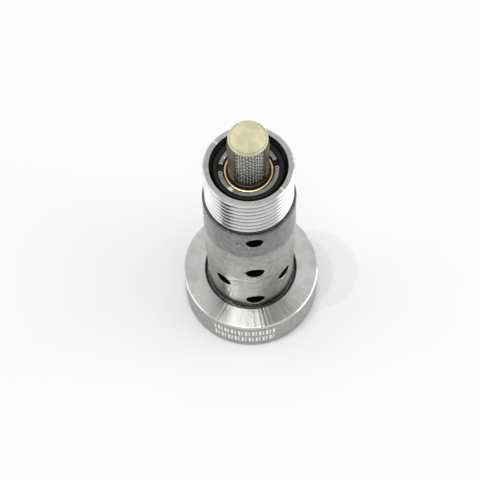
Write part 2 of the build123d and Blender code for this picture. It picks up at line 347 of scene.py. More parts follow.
def combine(
    target: bpy.types.Object, tools: Sequence[bpy.types.Object], operation: str
) -> bpy.types.Object:
    """Cuts tools out of an object, or joins them to it, and removes the tools.

    Args:
        target: The object that stays.
        tools: The objects that are used up.
        operation: "DIFFERENCE" or "UNION".

    Returns:
        The target, with its mesh replaced by the result.
    """
    for tool in tools:
        modifier = target.modifiers.new(operation, "BOOLEAN")
        modifier.operation = operation
        modifier.solver = "EXACT"
        modifier.material_mode = "TRANSFER"
        modifier.object = tool
    view = bpy.context.evaluated_depsgraph_get()
    result = bpy.data.meshes.new_from_object(target.evaluated_get(view))
    target.modifiers.clear()
    target.data = result
    for tool in tools:
        bpy.data.objects.remove(tool)
    return target


def shade(piece: bpy.types.Object, angle: float = 30.0) -> None:
    """Shades a piece smoothly, with edges sharper than an angle left crisp.

    Args:
        piece: The piece.
        angle: The angle in degrees.
    """
    piece.data.shade_smooth()
    piece.data.set_sharp_from_angle(angle=math.radians(angle))
    weighting = piece.modifiers.new("flat_faces", "WEIGHTED_NORMAL")
    weighting.keep_sharp = True


def dress(piece: bpy.types.Object, materials: Sequence[bpy.types.Material]) -> None:
    """Gives a piece its materials, one to a slot.

    A piece without materials isn't cleared first, because that puts every face in slot 0.

    Args:
        piece: The piece.
        materials: The materials, in the order of their slots.
    """
    if piece.data.materials:
        piece.data.materials.clear()
    for material in materials:
        piece.data.materials.append(material)


# ---------------------------------------------------------------------------------------------
# Finishes
# ---------------------------------------------------------------------------------------------


class Sheet:
    """A material under construction, with short calls that add and join nodes."""

    def __init__(self, name: str) -> None:
        """Starts an empty material with an output and a principled shader.

        Args:
            name: Name of the material.
        """
        self.material = bpy.data.materials.new(name)
        self.material.use_nodes = True
        self.nodes = self.material.node_tree.nodes
        self.nodes.clear()
        self.shader = self.add("ShaderNodeBsdfPrincipled")
        output = self.add("ShaderNodeOutputMaterial")
        self.join(self.shader.outputs["BSDF"], output.inputs["Surface"])

    def add(self, kind: str, **settings: str | bool) -> bpy.types.Node:
        """Adds a node and sets its properties.

        Args:
            kind: Blender's name of the node's type.
            **settings: Properties of the node.

        Returns:
            The new node.
        """
        node = self.nodes.new(kind)
        for key, value in settings.items():
            setattr(node, key, value)
        return node

    def join(self, source: bpy.types.NodeSocket, target: bpy.types.NodeSocket) -> None:
        """Joins an output to an input."""
        self.material.node_tree.links.new(source, target)

    def place(self) -> bpy.types.NodeSocket:
        """Returns the position on the piece, in metres, in the model's frame."""
        return self.add("ShaderNodeTexCoord").outputs["Object"]

    def ring_place(self) -> bpy.types.NodeSocket:
        """Gives radius and height as a vector, so that patterns run round the axis.

        Returns:
            The vector: radius, 0 and height, in metres.
        """
        split = self.add("ShaderNodeSeparateXYZ")
        self.join(self.place(), split.inputs[0])
        flat = self.add("ShaderNodeCombineXYZ")
        self.join(split.outputs["X"], flat.inputs["X"])
        self.join(split.outputs["Y"], flat.inputs["Y"])
        length = self.add("ShaderNodeVectorMath", operation="LENGTH")
        self.join(flat.outputs[0], length.inputs[0])
        ring = self.add("ShaderNodeCombineXYZ")
        self.join(length.outputs["Value"], ring.inputs["X"])
        self.join(split.outputs["Z"], ring.inputs["Z"])
        return ring.outputs[0]

    def spoke_place(self, radius: float) -> bpy.types.NodeSocket:
        """Gives the direction from the axis, so that patterns run outwards like spokes.

        Args:
            radius: Radius in millimetres at which a pattern has its true size.

        Returns:
            A point on the circle with that radius.
        """
        flat = self.add("ShaderNodeVectorMath", operation="MULTIPLY")
        flat.inputs[1].default_value = (1, 1, 0)
        self.join(self.place(), flat.inputs[0])
        unit = self.add("ShaderNodeVectorMath", operation="NORMALIZE")
        self.join(flat.outputs[0], unit.inputs[0])
        circle = self.add("ShaderNodeVectorMath", operation="SCALE")
        circle.inputs["Scale"].default_value = radius * MM
        self.join(unit.outputs[0], circle.inputs[0])
        return circle.outputs[0]

    def noise(
        self, place: bpy.types.NodeSocket, size: float, detail: float = 3.0, stretch: Point3 = (1, 1, 1)
    ) -> bpy.types.NodeSocket:
        """Adds a cloudy pattern.

        Args:
            place: Position that the pattern is read at.
            size: Size of a cloud, in millimetres.
            detail: How much fine structure it has.
            stretch: How many times smaller the clouds are along X, Y and Z.

        Returns:
            The pattern's strength, about 0.5 on average.
        """
        mapping = self.add("ShaderNodeMapping")
        mapping.inputs["Scale"].default_value = stretch
        self.join(place, mapping.inputs["Vector"])
        texture = self.add("ShaderNodeTexNoise")
        texture.inputs["Scale"].default_value = 1 / (size * MM)
        texture.inputs["Detail"].default_value = detail
        self.join(mapping.outputs[0], texture.inputs["Vector"])
        return texture.outputs["Fac"]

    def ramp(
        self, strength: bpy.types.NodeSocket, low: float, high: float, start: float, end: float
    ) -> bpy.types.NodeSocket:
        """Maps a strength from one range to another and keeps it inside.

        Args:
            strength: The strength.
            low: Strength that gives the start value.
            high: Strength that gives the end value.
            start: Start value.
            end: End value.

        Returns:
            The mapped strength.
        """
        node = self.add("ShaderNodeMapRange", clamp=True)
        node.inputs["From Min"].default_value = low
        node.inputs["From Max"].default_value = high
        node.inputs["To Min"].default_value = start
        node.inputs["To Max"].default_value = end
        self.join(strength, node.inputs["Value"])
        return node.outputs["Result"]

    def blend(
        self,
        strength: bpy.types.NodeSocket,
        low: Colour | bpy.types.NodeSocket,
        high: Colour | bpy.types.NodeSocket,
    ) -> bpy.types.NodeSocket:
        """Blends two colours.

        Args:
            strength: Share of the second colour, from 0 to 1.
            low: The first colour.
            high: The second colour.

        Returns:
            The blended colour.
        """
        node = self.add("ShaderNodeMix", data_type="RGBA")
        self.join(strength, node.inputs["Factor"])
        for key, colour in (("A", low), ("B", high)):
            socket = next(s for s in node.inputs if s.name == key and s.type == "RGBA")
            if isinstance(colour, bpy.types.NodeSocket):
                self.join(colour, socket)
            else:
                socket.default_value = (*colour, 1)
        return next(s for s in node.outputs if s.type == "RGBA")

    def relief(self, height: bpy.types.NodeSocket, depth: float) -> bpy.types.NodeSocket:
        """Turns a strength into surface relief of a depth in millimetres.

        Args:
            height: The relief's height, from 0 to 1.
            depth: The relief's full depth.

        Returns:
            The normal of the relief.
        """
        node = self.add("ShaderNodeBump")
        node.inputs["Strength"].default_value = 1.0
        node.inputs["Distance"].default_value = depth * MM
        self.join(height, node.inputs["Height"])
        return node.outputs["Normal"]

    def worn_edges(self, base: bpy.types.NodeSocket, worn: Colour) -> bpy.types.NodeSocket:
        """Brightens the colour along outer edges, where handling polishes them."""
        sharpness = self.add("ShaderNodeNewGeometry").outputs["Pointiness"]
        return self.blend(self.ramp(sharpness, *WEAR_RANGE, 0.0, WEAR_STRENGTH), base, worn)


@dataclass(frozen=True)
class MachinedMetal:
    """Turned, ground or rolled metal with tool marks round the axis.

    Attributes:
        name: Name of the material.
        tint: Main colour.
        stain: Colour of the faint stains.
        edge: Colour of the polished edges.
        roughness: Roughness in the smoothest and in the roughest places.
        anisotropy: How far reflections are drawn out across the tool marks.
        mark_size: Spacing of the tool marks in millimetres.
        mark_depth: Depth of the tool marks in millimetres.
        cloud_size: Size of the stains in millimetres.
        grain_depth: Depth of the fine grain in millimetres.
        chatter_size: Width of the faint waves that the cutting tool left, in millimetres.
        chatter_depth: Depth of those waves in millimetres.
        hollow: Radii between which the painted groove shade fades into the main colour, in millimetres.
        groove_shade_tint: Colour of the painted shade in grooves closer to the axis than that, where the
            crests shade the flanks.
    """

    name: str
    tint: Colour
    stain: Colour
    edge: Colour = (0.9, 0.9, 0.88)
    roughness: Point2 = (0.25, 0.4)
    anisotropy: float = 0.6
    mark_size: float = 0.12
    mark_depth: float = 0.002
    cloud_size: float = 5.0
    grain_depth: float = 0.001
    chatter_size: float = 0.5
    chatter_depth: float = 0.0
    hollow: Point2 | None = None
    groove_shade_tint: Colour = (0.15, 0.15, 0.15)

    def material(self) -> bpy.types.Material:
        """Builds the material.

        Returns:
            The new material.
        """
        sheet = Sheet(self.name)
        shader = sheet.shader
        place = sheet.place()
        ring = sheet.ring_place()
        clouds = sheet.noise(place, self.cloud_size, 5.0)
        colour = sheet.blend(sheet.ramp(clouds, 0.4, 0.66, 0.0, 1.0), self.tint, self.stain)
        # Painted shade: closer to the axis than the hollow radii the colour turns to groove_shade_tint,
        # standing in for the crests' shadow in the grooves.
        if self.hollow:
            radius = sheet.add("ShaderNodeSeparateXYZ")
            sheet.join(ring, radius.inputs[0])
            low, high = self.hollow
            share = sheet.ramp(radius.outputs["X"], low * MM, high * MM, 0.0, 1.0)
            colour = sheet.blend(share, self.groove_shade_tint, colour)
        shader.inputs["Metallic"].default_value = 1.0
        shader.inputs["Anisotropic"].default_value = self.anisotropy
        shader.inputs["Anisotropic Rotation"].default_value = 0.25
        sheet.join(sheet.worn_edges(colour, self.edge), shader.inputs["Base Color"])
        marks = sheet.noise(ring, self.mark_size, 2.0)
        grain = sheet.noise(place, 0.25, 3.0)
        uneven = sheet.add("ShaderNodeMath", operation="MULTIPLY")
        sheet.join(grain, uneven.inputs[0])
        sheet.join(clouds, uneven.inputs[1])
        rough = sheet.ramp(uneven.outputs[0], 0.15, 0.38, *self.roughness)
        sheet.join(rough, shader.inputs["Roughness"])
        fine = sheet.relief(grain, self.grain_depth)
        bump = sheet.relief(marks, self.mark_depth)
        sheet.join(fine, bump.node.inputs["Normal"])
        sheet.join(bump, shader.inputs["Normal"])
        if self.chatter_depth:
            spokes = sheet.noise(sheet.spoke_place(CHATTER_RADIUS), self.chatter_size, 1.0)
            sheet.join(sheet.relief(spokes, self.chatter_depth), fine.node.inputs["Normal"])
        tangent = sheet.add("ShaderNodeTangent", direction_type="RADIAL", axis="Z")
        sheet.join(tangent.outputs[0], shader.inputs["Tangent"])
        return sheet.material


@dataclass(frozen=True)
class Moulding:
    """Moulded plastic or rubber, plain or translucent.

    Attributes:
        name: Name of the material.
        tint: Main colour.
        shade: Colour of the darker clouds.
        roughness: Roughness in the glossiest and in the dullest places.
        glow: How much light scatters below the surface.
        clear: How much light passes through.
        grain_size: Size of the surface grain in millimetres.
        grain_depth: Depth of the surface grain in millimetres.
        gloss: Strength of the surface reflection.
    """

    name: str
    tint: Colour
    shade: Colour
    roughness: Point2 = (0.35, 0.5)
    glow: float = 0.0
    clear: float = 0.0
    grain_size: float = 0.2
    grain_depth: float = 0.004
    gloss: float = 0.5

    def material(self) -> bpy.types.Material:
        """Builds the material.

        Returns:
            The new material.
        """
        sheet = Sheet(self.name)
        shader = sheet.shader
        place = sheet.place()
        clouds = sheet.noise(place, 2.5, 4.0)
        colour = sheet.blend(sheet.ramp(clouds, 0.35, 0.68, 0.0, 1.0), self.tint, self.shade)
        sheet.join(colour, shader.inputs["Base Color"])
        grain = sheet.noise(place, self.grain_size, 3.0)
        sheet.join(sheet.ramp(grain, 0.3, 0.7, *self.roughness), shader.inputs["Roughness"])
        sheet.join(sheet.relief(grain, self.grain_depth), shader.inputs["Normal"])
        shader.inputs["Subsurface Weight"].default_value = self.glow
        shader.inputs["Subsurface Radius"].default_value = (1.0, 0.9, 0.55)
        shader.inputs["Subsurface Scale"].default_value = 1.2 * MM
        shader.inputs["Transmission Weight"].default_value = self.clear
        shader.inputs["IOR"].default_value = 1.5
        shader.inputs["Specular IOR Level"].default_value = self.gloss
        return sheet.material


@dataclass
class FinishSet:
    """Every finish of the valve, made once and shared by its pieces."""

    seat: bpy.types.Material = field(init=False)
    head_side: bpy.types.Material = field(init=False)
    shank: bpy.types.Material = field(init=False)
    pilot: bpy.types.Material = field(init=False)
    thread: bpy.types.Material = field(init=False)
    bore: bpy.types.Material = field(init=False)
    end: bpy.types.Material = field(init=False)
    etched: bpy.types.Material = field(init=False)
    inner_steel: bpy.types.Material = field(init=False)
    spring_wire: bpy.types.Material = field(init=False)
    sleeve: bpy.types.Material = field(init=False)
    ball: bpy.types.Material = field(init=False)
    keeper: bpy.types.Material = field(init=False)
    brass: bpy.types.Material = field(init=False)
    black: bpy.types.Material = field(init=False)
    rubber: bpy.types.Material = field(init=False)
    cap: bpy.types.Material = field(init=False)
    rib: bpy.types.Material = field(init=False)
    foot: bpy.types.Material = field(init=False)
    shade_sheet: bpy.types.Material = field(init=False)
    mesh_wire: bpy.types.Material = field(init=False)

    def __post_init__(self) -> None:
        """Makes the materials."""
        self.seat = MachinedMetal(
            "turned_seat", (0.88, 0.88, 0.87), (0.72, 0.7, 0.68), roughness=(0.16, 0.18),
            anisotropy=1.0, mark_size=0.15, mark_depth=0.0004, cloud_size=4.0, grain_depth=0.0001,
            chatter_depth=0.026,
        ).material()
        self.end = MachinedMetal(
            "turned_end", (0.56, 0.56, 0.55), (0.44, 0.44, 0.43), roughness=(0.32, 0.42),
            anisotropy=0.3, mark_size=0.15, mark_depth=0.0004, cloud_size=2.0,
        ).material()
        self.head_side = MachinedMetal(
            "satin_head", (0.45, 0.45, 0.44), (0.27, 0.27, 0.26), roughness=(0.4, 0.55),
            edge=(0.5, 0.5, 0.49), anisotropy=0.2, mark_size=0.3, cloud_size=0.55, grain_depth=0.016,
        ).material()
        self.shank = MachinedMetal(
            "ground_shank", (0.35, 0.345, 0.33), (0.25, 0.246, 0.235), roughness=(0.2, 0.26),
            edge=(0.5, 0.5, 0.49), anisotropy=0.5, mark_size=0.1, mark_depth=0.001, cloud_size=1.3,
            grain_depth=0.002,
        ).material()
        self.pilot = MachinedMetal(
            "ground_pilot", (0.2, 0.2, 0.198), (0.14, 0.14, 0.139), roughness=(0.22, 0.32),
            edge=(0.3, 0.3, 0.295), anisotropy=0.4, mark_size=0.1, mark_depth=0.001, cloud_size=1.3,
            grain_depth=0.002,
        ).material()
        # The thread's hollow settings paint shade into its grooves, darkest towards the roots.
        self.thread = MachinedMetal(
            "rolled_thread", (0.9, 0.9, 0.9), (0.78, 0.78, 0.78), roughness=(0.17, 0.22),
            anisotropy=0.95, mark_size=0.2, mark_depth=0.0004, grain_depth=0.0004,
            hollow=(8.45, 8.8), groove_shade_tint=(0.08, 0.08, 0.08),
        ).material()
        # Painted shade: the bore, the wide mouth bevel and the port walls are near black, standing in for
        # the shade inside the bolt.
        self.bore = MachinedMetal(
            "bore_painted_shade", (0.03, 0.03, 0.03), (0.015, 0.015, 0.015), edge=(0.06, 0.06, 0.06),
            roughness=(0.25, 0.4), anisotropy=0.4, mark_size=0.2,
        ).material()
        self.etched = MachinedMetal(
            "etched_bars", (0.95, 0.95, 0.94), (0.85, 0.85, 0.83), roughness=(0.7, 0.9),
            anisotropy=0.0, mark_size=0.1, cloud_size=0.5,
        ).material()
        self.inner_steel = MachinedMetal(
            "hard_steel", (0.45, 0.45, 0.44), (0.34, 0.34, 0.33), roughness=(0.25, 0.4),
        ).material()
        self.spring_wire = MachinedMetal(
            "drawn_wire", (0.42, 0.42, 0.43), (0.3, 0.3, 0.31), roughness=(0.25, 0.4), anisotropy=0.2,
        ).material()
        # Painted shade: the port sleeve, seen through the ports, is near black, standing in for the shade
        # inside the bolt.
        self.sleeve = MachinedMetal(
            "sleeve_painted_shade", (0.05, 0.05, 0.05), (0.03, 0.03, 0.03), edge=(0.1, 0.1, 0.1),
            roughness=(0.35, 0.5),
        ).material()
        self.ball = MachinedMetal(
            "polished_ball", (0.8, 0.8, 0.8), (0.72, 0.72, 0.72), roughness=(0.06, 0.12),
            anisotropy=0.0, mark_depth=0.0,
        ).material()
        self.keeper = MachinedMetal(
            "stamped_keeper", (0.34, 0.32, 0.285), (0.2, 0.19, 0.17), roughness=(0.35, 0.5),
            anisotropy=0.2, cloud_size=1.5, grain_depth=0.004,
        ).material()
        self.brass = MachinedMetal(
            "turned_brass", (0.82, 0.64, 0.32), (0.68, 0.5, 0.2), edge=(1.0, 0.9, 0.6),
            roughness=(0.3, 0.42), anisotropy=0.0, cloud_size=2.0,
        ).material()
        self.black = Moulding(
            "black_moulding", (0.006, 0.006, 0.007), (0.012, 0.012, 0.012), roughness=(0.5, 0.65),
            gloss=0.25,
        ).material()
        self.rubber = Moulding(
            "seal_rubber", (0.01, 0.01, 0.01), (0.016, 0.016, 0.016), roughness=(0.55, 0.7),
        ).material()
        self.cap = Moulding(
            "filter_cap_plastic", (0.7, 0.67, 0.44), (0.5, 0.47, 0.3), roughness=(0.3, 0.42),
            glow=0.3, grain_size=0.5,
        ).material()
        # Painted shade: the ribs are the cap's plastic darkened, standing in for the shade on the
        # translucent ribs.
        self.rib = Moulding(
            "filter_rib_painted_shade", (0.2, 0.19, 0.12), (0.13, 0.124, 0.075), roughness=(0.22, 0.3),
            clear=0.3, grain_size=0.8, grain_depth=0.001,
        ).material()
        # Painted shade: the filter's flange and foot band are near black, standing in for the shade round
        # the screen's foot.
        self.foot = Moulding(
            "filter_foot_painted_shade", (0.035, 0.028, 0.016), (0.02, 0.016, 0.01), roughness=(0.25, 0.35),
        ).material()
        # Painted shade: a near-black sheet behind the screen stands in for the shade inside the filter.
        self.shade_sheet = Moulding(
            "screen_painted_shade", (0.03, 0.027, 0.02), (0.015, 0.014, 0.01), roughness=(0.6, 0.8), gloss=0.1,
        ).material()
        self.mesh_wire = MachinedMetal(
            "woven_wire", (0.27, 0.235, 0.165), (0.15, 0.13, 0.09), roughness=(0.3, 0.5),
            anisotropy=0.0, cloud_size=1.2,
        ).material()


# ---------------------------------------------------------------------------------------------
# The bolt
# ---------------------------------------------------------------------------------------------


class Zone(Enum):
    """Surfaces of the bolt that have a finish of their own."""

    SEAT = 0
    HEAD_SIDE = 1
    SHANK = 2
    PILOT = 3
    THREAD = 4
    # BORE is dressed near black as painted shade.
    BORE = 5
    END = 6


@dataclass(frozen=True)
class PortRow:
    """One row of radial oil ports.

    Attributes:
        height: Height of the ports' axes.
        diameter: Diameter of each port.
        land_r: Radius of the land that the row is drilled in.
        first_angle: Angle of the first port.
        count: Number of ports.
    """

    height: float
    diameter: float
    land_r: float
    first_angle: float = 0.0
    count: int = 4


@dataclass
class ValveBolt:
    """The hollow bolt: head with drive recess, shank with ports, thread and bevelled mouth."""

    segments: int = 288
    head_r: float = 15.0
    head_height: float = 10.0
    head_bevel: float = 0.5
    seat_bevel: float = 0.3
    seat_inner_r: float = 10.0
    foot_groove_r: float = 9.15
    foot_groove_depth: float = 1.3
    lower_land_r: float = 9.45
    middle_land_r: float = 9.6
    pilot_r: float = 9.5
    middle_land_start: float = 23.5
    pilot_start: float = 36.0
    pilot_end: float = 45.6
    land_bevel: float = 0.7
    pilot_bevel: float = 0.12
    thread_r: float = 9.0
    pitch: float = 1.5
    relief_end: float = 46.2
    relief_r: float = 8.6
    thread_start_z: float = 46.29
    thread_start_angle: float = 270.0
    thread_end: float = 57.85
    thread_bevel: float = 0.3
    bore_r: float = 7.0
    mouth_bevel: float = 0.75
    stop_groove_r: float = 7.5
    stop_groove: Point2 = (7.2, 8.2)
    drive_tip_r: float = 11.0
    drive_valley_r: float = 8.1
    drive_lobe_r: float = 2.2
    drive_lobes: int = 6
    drive_depth: float = 6.0
    drive_mouth_bevel: float = 0.6
    drive_softness: float = 0.5
    thread_rows_per_turn: int = 16
    edge_round: float = 0.06
    port_chamfer: float = 0.14
    port_sides: int = 64
    rows: tuple[PortRow, ...] = (
        PortRow(42.2, 3.6, 9.5),
        PortRow(27.6, 4.0, 9.6),
        PortRow(20.0, 3.7, 9.45, first_angle=45.0),
        PortRow(13.1, 4.0, 9.45),
    )

    @property
    def thread_depth(self) -> float:
        """Depth of the thread, from its pitch."""
        return 0.6134 * self.pitch

    def drive_r(self, angle: float) -> float:
        """Radius of the drive recess's wall.

        Args:
            angle: Angle in degrees.

        Returns:
            The radius: the lobes' arcs, blended softly into the circle between them.
        """
        place_r = self.drive_tip_r - self.drive_lobe_r
        step = FULL_TURN / self.drive_lobes
        offset = math.radians((angle + step / 2) % step - step / 2)
        across = place_r * math.sin(offset)
        if abs(across) >= self.drive_lobe_r:
            lobe = 0.0
        else:
            lobe = place_r * math.cos(offset) + math.sqrt(self.drive_lobe_r**2 - across**2)
        if lobe <= 0:
            return self.drive_valley_r
        rise = (lobe - self.drive_valley_r) / self.drive_softness
        return self.drive_valley_r + self.drive_softness * math.log1p(math.exp(rise))

    def thread_radius(self, angle: float, height: float) -> float:
        """Radius of the threaded end at an angle and a height.

        Args:
            angle: Angle in degrees.
            height: Height in millimetres.

        Returns:
            The radius, with the bevels at both ends of the thread taken in.
        """
        turns = (angle - self.thread_start_angle) / FULL_TURN
        phase = (height - self.thread_start_z) / self.pitch - turns
        offset = abs((phase + 0.5) % 1.0 - 0.5) * self.pitch
        root_half = self.pitch / 12
        flank = (offset - root_half) / (self.pitch * 7 / 16 - root_half)
        depth = self.thread_depth * (1 - smooth_step(0.0, 1.0, flank))
        depth *= 1 - smooth_step(self.thread_end - 0.5, self.thread_end - 0.25, height)
        radius = self.thread_r - depth
        run_in = self.relief_r + 2 * (height - self.relief_end)
        end_bevel = self.thread_r - self.thread_bevel + (self.thread_end - height)
        return min(radius, run_in, end_bevel)

    def lower_outline(self) -> list[Corner]:
        """Gives the outline from the head's outer face up to the thread's relief.

        Returns:
            The outline's corners.
        """
        side, seat, shank = Zone.HEAD_SIDE.value, Zone.SEAT.value, Zone.SHANK.value
        pilot = Zone.PILOT.value
        top = self.head_height
        soft = self.edge_round
        return rounded_outline(
            [
                Corner(self.drive_tip_r + self.drive_mouth_bevel, 0, 0, side),
                Corner(self.head_r - self.head_bevel, 0, soft, side),
                Corner(self.head_r, self.head_bevel, soft, side),
                Corner(self.head_r, top - self.seat_bevel, soft, seat),
                Corner(self.head_r - self.seat_bevel, top, soft, seat),
                Corner(self.seat_inner_r + self.seat_bevel, top, soft, seat),
                Corner(self.seat_inner_r, top - self.seat_bevel, soft, shank),
                # The groove's floor and inner wall take the darker pilot finish: painted shade in the
                # groove.
                Corner(self.seat_inner_r, top - self.foot_groove_depth, 0.2, pilot),
                Corner(self.foot_groove_r, top - self.foot_groove_depth, 0.2, pilot),
                Corner(self.foot_groove_r, top - self.seat_bevel, soft, shank),
                Corner(self.lower_land_r, top, soft, shank),
                Corner(self.lower_land_r, self.middle_land_start, 0, shank),
                Corner(self.middle_land_r, self.middle_land_start + self.land_bevel, soft, shank),
                Corner(self.middle_land_r, self.pilot_start - self.land_bevel, soft, shank),
                Corner(self.pilot_r, self.pilot_start, 0, pilot),
                Corner(self.pilot_r, self.pilot_end - self.pilot_bevel, soft, pilot),
                Corner(self.pilot_r - self.pilot_bevel, self.pilot_end, soft, pilot),
                Corner(self.relief_r, self.pilot_end, 0.1, pilot),
                Corner(self.relief_r, self.relief_end, 0, Zone.THREAD.value),
            ],
            closed=False,
        )

    def upper_outline(self) -> list[Corner]:
        """Gives the outline from the thread's end face down the bore to the drive recess.

        Returns:
            The outline's corners.
        """
        bore = Zone.BORE.value
        low, high = self.stop_groove
        return rounded_outline(
            [
                Corner(self.thread_r - self.thread_bevel, self.thread_end, 0, Zone.END.value),
                # The wide mouth bevel and the bore take the bore zone, whose near-black finish is painted
                # shade.
                Corner(self.bore_r + self.mouth_bevel, self.thread_end, 0, bore),
                Corner(self.bore_r, self.thread_end - self.mouth_bevel, 0.05, bore),
                Corner(self.bore_r, high, 0, bore),
                Corner(self.stop_groove_r, high, 0, bore),
                Corner(self.stop_groove_r, low, 0, bore),
                Corner(self.bore_r, low, 0, bore),
                Corner(self.bore_r, self.drive_depth, 0, Zone.HEAD_SIDE.value),
            ],
            closed=False,
        )

    def body(self) -> bpy.types.Object:
        """Builds the bolt without its ports.

        The rows of the thread follow its helix, so the last column joins the first one pitch
        higher. Rows past the thread's ends fold onto its end circles and are welded there.

        Returns:
            The bolt as one closed mesh.
        """
        lower, upper = self.lower_outline(), self.upper_outline()[1:]
        per_turn = self.thread_rows_per_turn
        spacing = self.pitch / per_turn
        length = self.thread_end - self.relief_end
        thread_rows = int((length / self.pitch + 1) * per_turn) + 2
        base = self.relief_end - self.pitch
        phase = (self.thread_start_z - base) % spacing
        recess = (
            (self.drive_r, self.drive_depth),
            (self.drive_r, self.drive_mouth_bevel),
            (lambda _: self.drive_tip_r, self.drive_mouth_bevel),
        )
        rows = len(lower) + thread_rows + len(upper) + len(recess)
        points = []
        for column in range(self.segments):
            angle = FULL_TURN * column / self.segments
            rise = self.pitch * column / self.segments
            for corner in lower:
                points.append(polar(corner.r, angle, corner.z))
            for row in range(thread_rows):
                height = base + phase + row * spacing + rise
                height = min(max(height, self.relief_end), self.thread_end)
                points.append(polar(self.thread_radius(angle, height), angle, height))
            for corner in upper:
                points.append(polar(corner.r, angle, corner.z))
            for radius, height in recess:
                points.append(polar(radius(angle), angle, height))
        first_thread = len(lower)
        last_thread = first_thread + thread_rows - 1
        zones_up = [corner.zone for corner in lower]
        zones_up += [Zone.THREAD.value] * (thread_rows - 1) + [Zone.END.value]
        zones_up += [corner.zone for corner in upper] + [Zone.HEAD_SIDE.value] * len(recess)
        faces, zones = [], []
        for column in range(self.segments):
            wraps = column == self.segments - 1
            there = 0 if wraps else (column + 1) * rows
            for row in range(rows):
                over = (row + 1) % rows
                right, right_over = row, over
                if wraps and first_thread <= row <= last_thread:
                    right = min(row + per_turn, last_thread)
                if wraps and first_thread <= over <= last_thread:
                    right_over = min(over + per_turn, last_thread)
                here = column * rows
                faces.append((here + row, there + right, there + right_over, here + over))
                zones.append(zones_up[row])
        return make_object("valve_bolt_body", points, faces, zones)

    def port_tool(self, row: PortRow, angle: float) -> bpy.types.Object:
        """Builds the cutter of one port, with a bevel that follows the land's curve.

        Args:
            row: The port's row.
            angle: The port's angle in degrees.

        Returns:
            The cutter as a closed mesh.
        """
        port_r = row.diameter / 2
        bevel = self.port_chamfer
        rings = (
            (port_r, None),
            (port_r, -bevel),
            (port_r + 2 * bevel, bevel),
            (port_r + 2 * bevel, CUT_MARGIN),
        )
        turn = math.radians(angle)
        outward = Vector((math.cos(turn), math.sin(turn), 0))
        sideways = Vector((-math.sin(turn), math.cos(turn), 0))
        points: list[Point3] = []
        for side in range(self.port_sides):
            around = 2 * math.pi * side / self.port_sides
            for radius, rise in rings:
                across = radius * math.cos(around)
                if rise is None:
                    depth = self.bore_r - CUT_MARGIN
                else:
                    depth = math.sqrt(row.land_r**2 - across**2) + rise
                place = outward * depth + sideways * across
                points.append((place.x, place.y, row.height + radius * math.sin(around)))
        steps = len(rings)
        faces = grid_faces(self.port_sides, steps, True, False)
        faces.append(tuple(side * steps for side in range(self.port_sides)))
        faces.append(tuple(side * steps + steps - 1 for side in range(self.port_sides)))
        zones = [0 if number % (steps - 1) else 1 for number in range(len(faces))]
        return make_object("port_tool", points, faces, zones)

    def build(self, finishes: FinishSet) -> bpy.types.Object:
        """Builds and dresses the whole bolt.

        Args:
            finishes: The valve's finishes.

        Returns:
            The finished piece.
        """
        bolt = self.body()
        tools = [
            self.port_tool(row, row.first_angle + FULL_TURN * port / row.count)
            for row in self.rows
            for port in range(row.count)
        ]
        bolt_materials = [
            finishes.seat, finishes.head_side, finishes.shank, finishes.pilot, finishes.thread,
            finishes.bore, finishes.end,
        ]
        dress(bolt, bolt_materials)
        for tool in tools:
            # The port walls take the bore's near-black finish: painted shade in the ports.
            dress(tool, [finishes.shank, finishes.bore])
        combine(bolt, tools, "DIFFERENCE")
        bolt.name = "valve_bolt_shell"
        shade(bolt, 28)
        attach(bolt, "valve")
        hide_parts("valve_bolt")
        return bolt


@dataclass
class EtchedBars:
    """A plain row of etched bars on the head's side. They say nothing."""

    head_r: float = 15.0
    middle_angle: float = 258.5
    spread: float = 54.0
    rows: tuple[Point2, ...] = ((6.9, 2.3), (3.6, 2.3))
    bar_step: float = 3.0
    wide_share: float = 0.62
    narrow_share: float = 0.34
    bar_chords: int = 3
    thickness: float = 0.012

    def build(self, finishes: FinishSet) -> bpy.types.Object:
        """Builds the bars as thin raised patches.

        Args:
            finishes: The valve's finishes.

        Returns:
            The finished piece.
        """
        points: list[Point3] = []
        faces: list[tuple[int, ...]] = []
        for row, (middle, height) in enumerate(self.rows):
            count = int(self.spread / self.bar_step)
            for bar in range(count):
                start = self.middle_angle - self.spread / 2 + bar * self.bar_step
                width = self.bar_step * (self.wide_share if (bar + row) % 2 else self.narrow_share)
                low, high = middle - height / 2, middle + height / 2
                self.add_bar(points, faces, start, start + width, low, high)
        bars = make_object("etched_bars", points, faces)
        dress(bars, [finishes.etched])
        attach(bars, "valve")
        return bars

    def add_bar(
        self,
        points: list[Point3],
        faces: list[tuple[int, ...]],
        first: float,
        last: float,
        low: float,
        high: float,
    ) -> None:
        """Adds one bar, a thin curved block, to lists of points and faces.

        Args:
            points: List of points that grows.
            faces: List of faces that grows.
            first: Angle of the bar's start.
            last: Angle of its end.
            low: Height of its lower edge.
            high: Height of its upper edge.
        """
        steps = self.bar_chords
        start = len(points)
        inner, outer = self.head_r - self.thickness, self.head_r + self.thickness
        for step in range(steps + 1):
            angle = first + (last - first) * step / steps
            for radius, height in ((inner, low), (outer, low), (outer, high), (inner, high)):
                points.append(polar(radius, angle, height))
        for face in grid_faces(steps + 1, 4, False, True):
            faces.append(tuple(start + number for number in face))
        faces.append(tuple(start + number for number in range(4)))
        faces.append(tuple(start + steps * 4 + number for number in range(4)))


# ---------------------------------------------------------------------------------------------
# The thread's mouth and the inlet filter
# ---------------------------------------------------------------------------------------------


